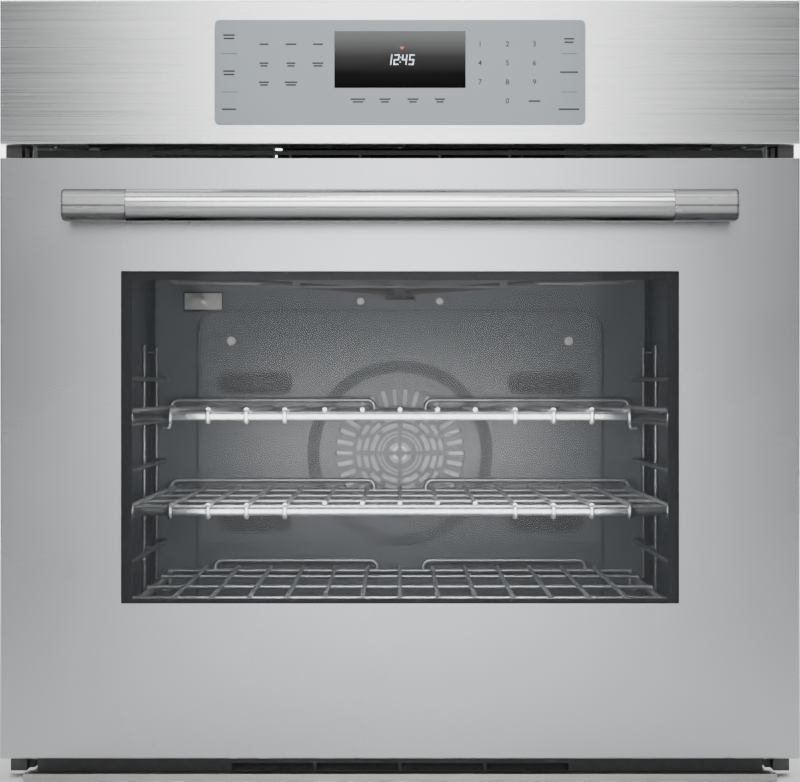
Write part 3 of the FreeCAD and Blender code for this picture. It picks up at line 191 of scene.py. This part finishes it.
materials = {
    "steel_brushed": brushed_steel(),
    "steel_smooth": textured("smooth_steel", (0.50, 0.508, 0.530), (0.53, 0.538, 0.560), 1.0,
                             (0.25, 0.30), 3.0, strength=0.0)[0],
    "steel_polished": textured("polished_steel", (0.78, 0.79, 0.81), (0.84, 0.85, 0.86), 1.0,
                               (0.05, 0.09), 40.0, strength=0.0)[0],
    "steel_satin_bar": textured("satin_bar", (0.76, 0.78, 0.79), (0.84, 0.86, 0.87), 1.0,
                                (0.20, 0.27), 300.0, (6.0, 0.05, 0.05), 0.05, 0.00002)[0],
    "galvanised": textured("galvanised", (0.56, 0.58, 0.59), (0.63, 0.645, 0.655), 0.9,
                           (0.42, 0.50), 30.0, strength=0.04)[0],
    "trim_grey": textured("trim_grey", (0.10, 0.10, 0.10), (0.13, 0.13, 0.13), 0.3,
                          (0.45, 0.55), 90.0)[0],
    "trim_light": textured("trim_light", (0.42, 0.41, 0.40), (0.50, 0.49, 0.48), 0.8,
                           (0.35, 0.45), 200.0, (0.05, 1.0, 4.0))[0],
    "black_trim": textured("black_trim", (0.012, 0.012, 0.012), (0.02, 0.02, 0.02), 0.0,
                           (0.5, 0.6), 120.0)[0],
    "enamel": textured("enamel", (0.112, 0.120, 0.131), (0.116, 0.124, 0.135), 0.0,
                       (0.29, 0.31), 18.0, strength=0.0)[0],
    "wire_chrome": textured("wire_plating", (0.44, 0.45, 0.46), (0.52, 0.53, 0.54), 0.85,
                            (0.34, 0.44), 180.0)[0],
    "element": textured("element_sheath", (0.09, 0.085, 0.08), (0.16, 0.15, 0.145), 0.6,
                        (0.4, 0.6), 140.0)[0],
    "touch_glass": textured("touch_glass", (0.36, 0.415, 0.46), (0.375, 0.43, 0.475), 0.0,
                            (0.12, 0.17), 8.0, strength=0.0)[0],
    # The display glass's grey is a painted reflection, darkest at the bottom and lightest at the top.
    "display_glass": painted_reflection_bands("display_glass", display_low[2], display_high[2],
                            ((0.0, 0.001), (0.25, 0.006), (0.55, 0.05), (1.0, 0.24)), 0.0,
                            (0.3, 0.34), 0.03),
    "clear_glass": see_through("tinted_glass", (0.055, 0.060, 0.066), 0.32),
    "inner_glass": see_through("inner_glass", (0.30, 0.31, 0.32), 0.02),
    "gasket": textured("gasket_braid", (0.05, 0.05, 0.05), (0.12, 0.12, 0.12), 0.0,
                       (0.8, 0.95), 900.0, strength=0.8, depth=0.0008)[0],
    "insulation": textured("mineral_wool", (0.60, 0.56, 0.42), (0.78, 0.75, 0.62), 0.0,
                           (0.9, 1.0), 220.0, strength=0.9, depth=0.002)[0],
    "board_green": textured("solder_mask", (0.01, 0.10, 0.05), (0.02, 0.15, 0.08), 0.0,
                            (0.3, 0.4), 300.0)[0],
    "motor_grey": textured("motor_paint", (0.05, 0.05, 0.055), (0.08, 0.08, 0.085), 0.5,
                           (0.4, 0.5), 150.0)[0],
    "zinc": textured("zinc_plate", (0.55, 0.55, 0.53), (0.68, 0.68, 0.65), 0.95,
                     (0.28, 0.42), 200.0)[0],
    "spring_steel": textured("spring_steel", (0.28, 0.28, 0.29), (0.38, 0.38, 0.39), 1.0,
                             (0.3, 0.4), 300.0)[0],
    "black_plastic": textured("black_plastic", (0.02, 0.02, 0.02), (0.035, 0.035, 0.035), 0.0,
                              (0.45, 0.6), 400.0, strength=0.2)[0],
    "lamp_glass": see_through("lamp_glass", (0.75, 0.74, 0.70), 0.5, 0.2),
}
# Painted shade: a darker copy of the enamel, for the cavity liner and rear wall.
painted_shade_enamel = textured("painted_shade_enamel", (0.023, 0.025, 0.028), (0.025, 0.027, 0.030), 0.0,
                       (0.36, 0.38), 18.0, strength=0.0)[0]
# Painted shade: a darker copy of the wire plating, for the rack guides.
painted_shade_guide_plating = textured("painted_shade_guide_plating", (0.16, 0.165, 0.17), (0.21, 0.215, 0.22), 0.85,
                         (0.34, 0.44), 180.0)[0]
# The handle ends' bands of grey are a painted reflection, set by height.
cap_reflection_stops = ((0.0, 0.02), (0.05, 0.05), (0.19, 0.05), (0.26, 0.36), (0.42, 0.42), (0.45, 0.14),
             (0.48, 0.14), (0.51, 0.56), (0.74, 0.62), (0.85, 0.50), (0.94, 0.32), (0.99, 0.04))
cap_rise = 0.7 * MM
end_piece_painted_reflection = painted_reflection_bands("end_piece_painted_reflection", bar_low[2] + cap_rise, bar_high[2] - cap_rise, cap_reflection_stops, 0.55,
                   (0.25, 0.3))
special = {"cavity_liner": painted_shade_enamel, "cavity_rear_wall": painted_shade_enamel,
           "rack_guides": painted_shade_guide_plating, "handle_ends": end_piece_painted_reflection}
slot_of = {part["node"]: part["material_slot"] for part in frame["record"]["subparts"]}
for name, obj in nodes.items():
    obj.data.materials.clear()
    obj.data.materials.append(special.get(name, materials[slot_of[name]]))


# ---- mesh helpers ----
def piece(name, mesh, material, body, smooth=False):
    """A shown object with one material, riding on a body."""
    obj = bpy.data.objects.new(name, mesh)
    bpy.context.scene.collection.objects.link(obj)
    mesh.materials.clear()
    mesh.materials.append(material)
    for face in mesh.polygons:
        face.use_smooth = smooth
    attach(obj, body)
    return obj


def mesh_from(bm, name):
    mesh = bpy.data.meshes.new(name)
    bm.normal_update()
    bm.to_mesh(mesh)
    bm.free()
    return mesh


def add_box(bm, low, high):
    corners = [bm.verts.new((x, y, z)) for x in (low[0], high[0]) for y in (low[1], high[1])
               for z in (low[2], high[2])]
    for face in ((0, 1, 3, 2), (4, 6, 7, 5), (0, 4, 5, 1), (2, 3, 7, 6), (0, 2, 6, 4), (1, 5, 7, 3)):
        bm.faces.new([corners[i] for i in face])


def rounded_outline(half_x, z0, z1, radius, steps=6):
    """Points of a rounded rectangle in X and Z, counter-clockwise."""
    points = []
    for cx, cz, start in ((half_x - radius, z1 - radius, 0), (radius - half_x, z1 - radius, 90),
                          (radius - half_x, z0 + radius, 180), (half_x - radius, z0 + radius, 270)):
        for i in range(steps + 1):
            angle = math.radians(start + 90 * i / steps)
            points.append((cx + radius * math.cos(angle), cz + radius * math.sin(angle)))
    return points


def add_ring(bm, outer, inner, y0, y1):
    """A closed frame between two outlines of as many points, from y0 to y1."""
    rows = [[bm.verts.new((x, y, z)) for x, z in outline] for outline, y in
            ((outer, y0), (outer, y1), (inner, y1), (inner, y0))]
    count = len(outer)
    for a, b in zip(rows, rows[1:] + rows[:1]):
        for i in range(count):
            j = (i + 1) % count
            bm.faces.new((a[i], a[j], b[j], b[i]))


# ---- control panel marks ----
mark_dark = textured("legend_ink", (0.012, 0.015, 0.02), (0.02, 0.024, 0.03), 0.0, (0.4, 0.5), 500.0,
                     strength=0.0)[0]


def glowing(name, colour, strength):
    material, _, shader = new_material(name, colour, 0.0, 0.5)
    shader.inputs["Emission Color"].default_value = (*colour, 1.0)
    shader.inputs["Emission Strength"].default_value = strength
    return material


ink_depth = 0.05 * MM
panel_top = fascia_high[2]


def add_mark(bm, x, drop, width, height):
    """A flat mark on the touch glass, at a distance under the panel's top."""
    z = panel_top - drop
    add_box(bm, (x - width / 2, glass_low[1] - ink_depth, z - height / 2),
            (x + width / 2, glass_low[1] - ink_depth / 4, z + height / 2))


key_columns = (-128.5, -103.0, -77.5)
number_columns = (75.6, 101.5, 127.0)
key_rows = (41.6, 59.5, 77.5)
zero_row = 95.3
clock_row = 56.2
status_row = 46.8


def panel_legends():
    """Key marks as short bars in one or two rows, and the lines between key groups."""
    label_height = 1.5 * MM
    row_gap = 2.6 * MM
    side_row_gap = row_gap + 0.6 * MM
    line_height = 0.5 * MM
    line_width = 15.0 * MM
    line_rows = (50.6, 86.7)
    key_widths = ((8.5, 10.0, 9.5), (8.5, 8.5, 10.5), (9.5, 12.0, 0.0))
    timer_row = 93.5
    timer_marks = ((-39.7, 14.0), (-14.2, 10.5), (12.3, 10.5), (37.8, 9.5))
    side_marks = ((-161.5, ((33.0, 11.0, True), (67.0, 11.0, True), (103.0, 13.5, False))),
                  (159.6, ((36.5, 9.5, True), (68.0, 17.0, False), (103.0, 19.5, False))))
    enter_width = 11.0 * MM
    bm = bmesh.new()
    for row, drop in enumerate(key_rows):
        for x, width in zip(key_columns, key_widths[row]):
            if not width:
                continue
            add_mark(bm, x * MM, drop * MM, width * MM, label_height)
            if row:
                add_mark(bm, x * MM, drop * MM + row_gap, width * 0.8 * MM, label_height)
    for x, width in timer_marks:
        add_mark(bm, x * MM, timer_row * MM, width * MM, label_height)
        add_mark(bm, x * MM, timer_row * MM + row_gap, width * 0.7 * MM, label_height)
    for side_x, rows in side_marks:
        for drop, width, double in rows:
            add_mark(bm, side_x * MM, drop * MM, width * MM, label_height)
            if double:
                add_mark(bm, side_x * MM, drop * MM + side_row_gap, width * 0.9 * MM, label_height)
        for drop in line_rows:
            add_mark(bm, side_x * MM, drop * MM, line_width, line_height)
    add_mark(bm, number_columns[2] * MM, zero_row * MM, enter_width, label_height)
    return piece("panel_legends", mesh_from(bm, "panel_legends"), mark_dark, "casing")


def keypad_digits():
    """The digits of the number keys, from the built-in typeface."""
    size = 7.0 * MM
    places = {str(1 + i + 3 * j): (number_columns[i], key_rows[j]) for j in range(3) for i in range(3)}
    places["0"] = (number_columns[1], zero_row)
    bm = bmesh.new()
    for digit, (x, drop) in places.items():
        curve = bpy.data.curves.new("digit", "FONT")
        curve.body = digit
        curve.size = size
        curve.align_x = "CENTER"
        curve.align_y = "CENTER"
        curve.offset = 0.1 * MM
        curve.extrude = ink_depth / 3
        holder = bpy.data.objects.new("digit", curve)
        bpy.context.scene.collection.objects.link(holder)
        mesh = bpy.data.meshes.new_from_object(holder)
        place = Matrix.Translation((x * MM, glass_low[1] - ink_depth / 2, panel_top - drop * MM))
        mesh.transform(place @ Matrix.Rotation(math.radians(90), 4, "X"))
        bm.from_mesh(mesh)
        bpy.data.objects.remove(holder)
        bpy.data.meshes.remove(mesh)
        bpy.data.curves.remove(curve)
    return piece("keypad_digits", mesh_from(bm, "keypad_digits"), mark_dark, "casing")


def clock_digits():
    """Four seven-segment digits with a colon."""
    shapes = {"1": "bc", "2": "abged", "4": "fgbc", "5": "afgcd"}
    wide, tall, stroke, lean = 4.6 * MM, 9.6 * MM, 0.85 * MM, 0.12
    colon_width, colon_half = 0.9 * MM, 2.2 * MM
    middle_z = panel_top - clock_row * MM
    y0 = display_low[1] - ink_depth
    y1 = display_low[1] - ink_depth / 4
    bm = bmesh.new()

    def bar(x0, x1, z0, z1):
        start = len(bm.verts)
        add_box(bm, (x0, y0, z0), (x1, y1, z1))
        bm.verts.ensure_lookup_table()
        for vert in bm.verts[start:]:
            vert.co.x += (vert.co.z - middle_z) * lean

    half = tall / 2
    segments = {"a": (0, wide, half - stroke, half), "g": (0, wide, -stroke / 2, stroke / 2),
                "d": (0, wide, -half, -half + stroke), "f": (0, stroke, 0.1 * stroke, half),
                "b": (wide - stroke, wide, 0.1 * stroke, half), "e": (0, stroke, -half, -0.1 * stroke),
                "c": (wide - stroke, wide, -half, -0.1 * stroke)}
    starts = (-12.4, -5.6, 1.9, 8.7)
    for digit, x in zip("1245", starts):
        for key in shapes[digit]:
            x0, x1, z0, z1 = segments[key]
            bar(x * MM + x0, x * MM + x1, middle_z + z0, middle_z + z1)
    for z in (-colon_half, colon_half):
        bar(0.0, colon_width, middle_z + z - stroke / 2, middle_z + z + stroke / 2)
    glow = glowing("clock_glow", (0.85, 0.92, 1.0), 1.4)
    return piece("clock_digits", mesh_from(bm, "clock_digits"), glow, "casing")


def status_light():
    """A small red lamp over the clock, as a quarter-round dot and two arcs."""
    bm = bmesh.new()
    centre = Vector((2.0 * MM, display_low[1], panel_top - status_row * MM))
    y0, y1 = display_low[1] - ink_depth, display_low[1] - ink_depth / 4
    steps = 8
    radii = ((0.0, 0.7), (1.3, 1.8), (2.4, 2.9))
    for r0, r1 in radii:
        for i in range(steps):
            angles = [math.radians(45 + 90 * k / steps) for k in (i, i + 1)]
            ring = [(centre.x + r * MM * math.cos(a), centre.z + r * MM * math.sin(a))
                    for a, r in ((angles[0], r0), (angles[0], r1), (angles[1], r1), (angles[1], r0))]
            if r0 == 0.0:
                ring = ring[:3]
            front = [bm.verts.new((x, y0, z)) for x, z in ring]
            back = [bm.verts.new((x, y1, z)) for x, z in ring]
            bm.faces.new(front)
            bm.faces.new(list(reversed(back)))
            for k in range(len(ring)):
                after = (k + 1) % len(ring)
                bm.faces.new((front[k], back[k], back[after], front[after]))
    glow = glowing("status_glow", (1.0, 0.08, 0.04), 1.2)
    return piece("status_light", mesh_from(bm, "status_light"), glow, "casing")


panel_legends()
keypad_digits()
clock_digits()
status_light()


# ---- door window border ----
def window_border():
    """The dark printed frame on the rear of the outer glass."""
    opening_half = 263.6 * MM
    band = 9.8 * MM
    top_band = band * 0.85
    low_band = 4.0 * MM
    z0, z1 = 168.3 * MM, 482.4 * MM
    lap = 8.0 * MM
    outer_corner, inner_corner = 3.0 * MM, 1.5 * MM
    gap, print_depth = 0.1 * MM, 0.15 * MM
    outer = rounded_outline(opening_half + lap, z0 - lap, z1 + lap, outer_corner)
    inner = rounded_outline(opening_half - band, z0 + low_band, z1 - top_band, inner_corner)
    bm = bmesh.new()
    y = window_high[1] + gap
    add_ring(bm, outer, inner, y, y + print_depth)
    ink = textured("border_print", (0.035, 0.038, 0.042), (0.045, 0.048, 0.052), 0.0, (0.3, 0.4), 40.0,
                   strength=0.0)[0]
    return piece("window_border", mesh_from(bm, "window_border"), ink, "door")


window_border()


# ---- cavity back ----
def circle_outline(centre_z, radius, count=96):
    """Points of a circle about X 0, counter-clockwise."""
    angles = [2 * math.pi * i / count for i in range(count)]
    return [(radius * math.cos(angle), centre_z + radius * math.sin(angle)) for angle in angles]


def slot_outline(centre_x, centre_z, half_length, half_height):
    """A slot with round ends, as an outline in X and Z. A short flat keeps its points apart."""
    end_flat = 0.02 * MM
    points = rounded_outline(half_length, centre_z - half_height, centre_z + half_height,
                             half_height - end_flat, 10)
    return [(centre_x + x, z) for x, z in points]


def pressed_edge_shade():
    """Painted shade: thin dark sheets over the edges of the raised field, the slots and the round ring in
    the cavity's back plate.
    """
    edge = 3.5 * MM
    emboss = 0.8 * MM
    field_y = cover_low[1] + emboss
    field_half, field_low, field_high = 235.6 * MM, 112.0 * MM, 461.7 * MM
    field_corner, edge_corner = 24.0 * MM, 27.0 * MM
    slot_x, slot_heights = 170.5 * MM, (214.4 * MM, 378.2 * MM)
    slot_half_length, slot_half_height = 41.5 * MM, 9.65 * MM
    ring_outer, ring_inner = 108.5 * MM, 94.5 * MM
    bm = bmesh.new()
    add_ring(bm, rounded_outline(field_half + edge, field_low - edge, field_high + edge, edge_corner, 10),
             rounded_outline(field_half, field_low, field_high, field_corner, 10),
             field_y - 0.5 * MM, field_y + 0.2 * MM)
    for x in (-slot_x, slot_x):
        for z in slot_heights:
            add_ring(bm, slot_outline(x, z, slot_half_length + edge, slot_half_height + edge),
                     slot_outline(x, z, slot_half_length, slot_half_height),
                     field_y - 0.3 * MM, field_y + 0.1 * MM)
    fan_low, fan_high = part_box("convection_fan_wheel")
    fan_z = (fan_low[2] + fan_high[2]) / 2
    add_ring(bm, circle_outline(fan_z, ring_outer), circle_outline(fan_z, ring_inner),
             cover_low[1] - 0.15 * MM, cover_low[1] + 0.05 * MM)
    shade = textured("pressed_shade", (0.052, 0.056, 0.062), (0.057, 0.061, 0.067), 0.0, (0.4, 0.5), 60.0,
                     strength=0.02)[0]
    return piece("pressed_edge_shade", mesh_from(bm, "pressed_edge_shade"), shade, "casing")


pressed_edge_shade()


# ---- handle ----
def lathe(name, profile, centre, segments=96):
    """A solid of revolution along X through the centre, from (x, radius) points."""
    bm = bmesh.new()
    rows = []
    for x, radius in profile:
        row = []
        for i in range(segments):
            angle = 2 * math.pi * i / segments
            y, z = centre[1] + radius * math.cos(angle), centre[2] + radius * math.sin(angle)
            row.append(bm.verts.new((x, y, z)))
        rows.append(row)
    for a, b in zip(rows, rows[1:]):
        for i in range(segments):
            j = (i + 1) % segments
            bm.faces.new((a[i], a[j], b[j], b[i]))
    bm.faces.new(list(reversed(rows[0])))
    bm.faces.new(rows[-1])
    return mesh_from(bm, name)


def handle_grip():
    """The round bar, bright steel with a painted reflection: its grey changes with the height."""
    chamfer = 0.5 * MM
    centre = [(a + b) / 2 for a, b in zip(bar_low, bar_high)]
    radius = (bar_high[2] - bar_low[2]) / 2
    half = bar_high[0]
    profile = [(-half, radius - chamfer), (-half + chamfer, radius), (half - chamfer, radius),
               (half, radius - chamfer)]
    # Grey stops of the painted reflection, from the bottom of the bar to its top.
    grip_reflection_stops = ((0.0, 0.30), (0.06, 0.05), (0.12, 0.08), (0.2, 0.18), (0.3, 0.26), (0.5, 0.70),
                  (0.68, 0.92), (0.88, 0.74), (1.0, 0.42))
    grip_reflection_paint = painted_reflection_bands("grip_painted_reflection", bar_low[2], bar_high[2], grip_reflection_stops)
    mesh = lathe("handle_grip", profile, centre)
    obj = piece("handle_grip", mesh, grip_reflection_paint, "door", True)
    split = obj.modifiers.new("edges", "EDGE_SPLIT")
    split.split_angle = math.radians(40)
    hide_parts("handle_bar")


handle_grip()


# ---- stage, camera and lights ----
def backdrop():
    """A pale floor that curves up behind the oven."""
    bm = bmesh.new()
    rows = []
    width, near, far, height, bend = 16.0, -16.0, 6.0, 6.0, 1.5
    floor_z = -0.5 * MM
    steps = 12
    profile = [(near, floor_z), (far - bend, floor_z)]
    for i in range(1, steps + 1):
        angle = math.radians(90 * i / steps)
        profile.append((far - bend + bend * math.sin(angle), floor_z + bend * (1 - math.cos(angle))))
    profile.append((far, height))
    for y, z in profile:
        rows.append([bm.verts.new((x, y, z)) for x in (-width, width)])
    for a, b in zip(rows, rows[1:]):
        bm.faces.new((a[0], a[1], b[1], b[0]))
    mesh = mesh_from(bm, "backdrop")
    obj = bpy.data.objects.new("backdrop", mesh)
    bpy.context.scene.collection.objects.link(obj)
    material, _, _ = new_material("backdrop_paper", (0.82, 0.82, 0.82), 0.0, 0.9)
    mesh.materials.append(material)
    for face in mesh.polygons:
        face.use_smooth = True


backdrop()

camera_distance = 2.135
sensor_width = 36.0
camera_data = bpy.data.cameras.new("camera")
camera_data.sensor_width = sensor_width
camera_data.lens = sensor_width * camera_distance / (fascia_high[0] - fascia_low[0])
camera_data.clip_end = 50.0
camera = bpy.data.objects.new("camera", camera_data)
camera.location = (0.0, front_y - camera_distance, cad_box[1][2] / 2)
camera.rotation_euler = (math.radians(90), 0.0, 0.0)
bpy.context.scene.collection.objects.link(camera)
bpy.context.scene.camera = camera


def area_light(name, place, target, width, height, power, spread=180.0):
    data = bpy.data.lights.new(name, "AREA")
    data.shape = "RECTANGLE"
    data.size = width
    data.size_y = height
    data.energy = power
    data.spread = math.radians(spread)
    obj = bpy.data.objects.new(name, data)
    obj.location = place
    direction = Vector(target) - Vector(place)
    obj.rotation_euler = direction.to_track_quat("-Z", "Y").to_euler()
    bpy.context.scene.collection.objects.link(obj)


middle = (0.0, 0.0, 0.37)
area_light("front_soft", (0.0, -3.7, 0.45), middle, 0.98, 2.6, 40.0)
area_light("floor_wash", (0.0, -1.5, 1.5), (0.0, -1.0, 0.0), 0.2, 1.0, 8.5, 32.0)
area_light("bar_soft", (0.0, -1.5, 1.5), (0.0, -0.3, 0.55), 0.9, 0.5, 9.0)
area_light("top_soft", (0.0, -0.8, 2.8), middle, 2.0, 1.4, 12.0)
area_light("backdrop_wash", (0.0, 2.6, 4.2), (0.0, 5.6, 0.8), 5.0, 0.6, 1300.0)
area_light("rear_soft", (1.6, 3.2, 2.0), middle, 1.8, 1.4, 32.0)
area_light("cavity_glow", (0.0, -0.215, 0.31), (0.0, 0.27, 0.27), 0.40, 0.16, 3.9)

world = bpy.data.worlds.new("world")
bpy.context.scene.world = world
world.use_nodes = True
background = world.node_tree.nodes["Background"]
background.inputs["Color"].default_value = (0.86, 0.88, 0.90, 1.0)
background.inputs["Strength"].default_value = 0.07
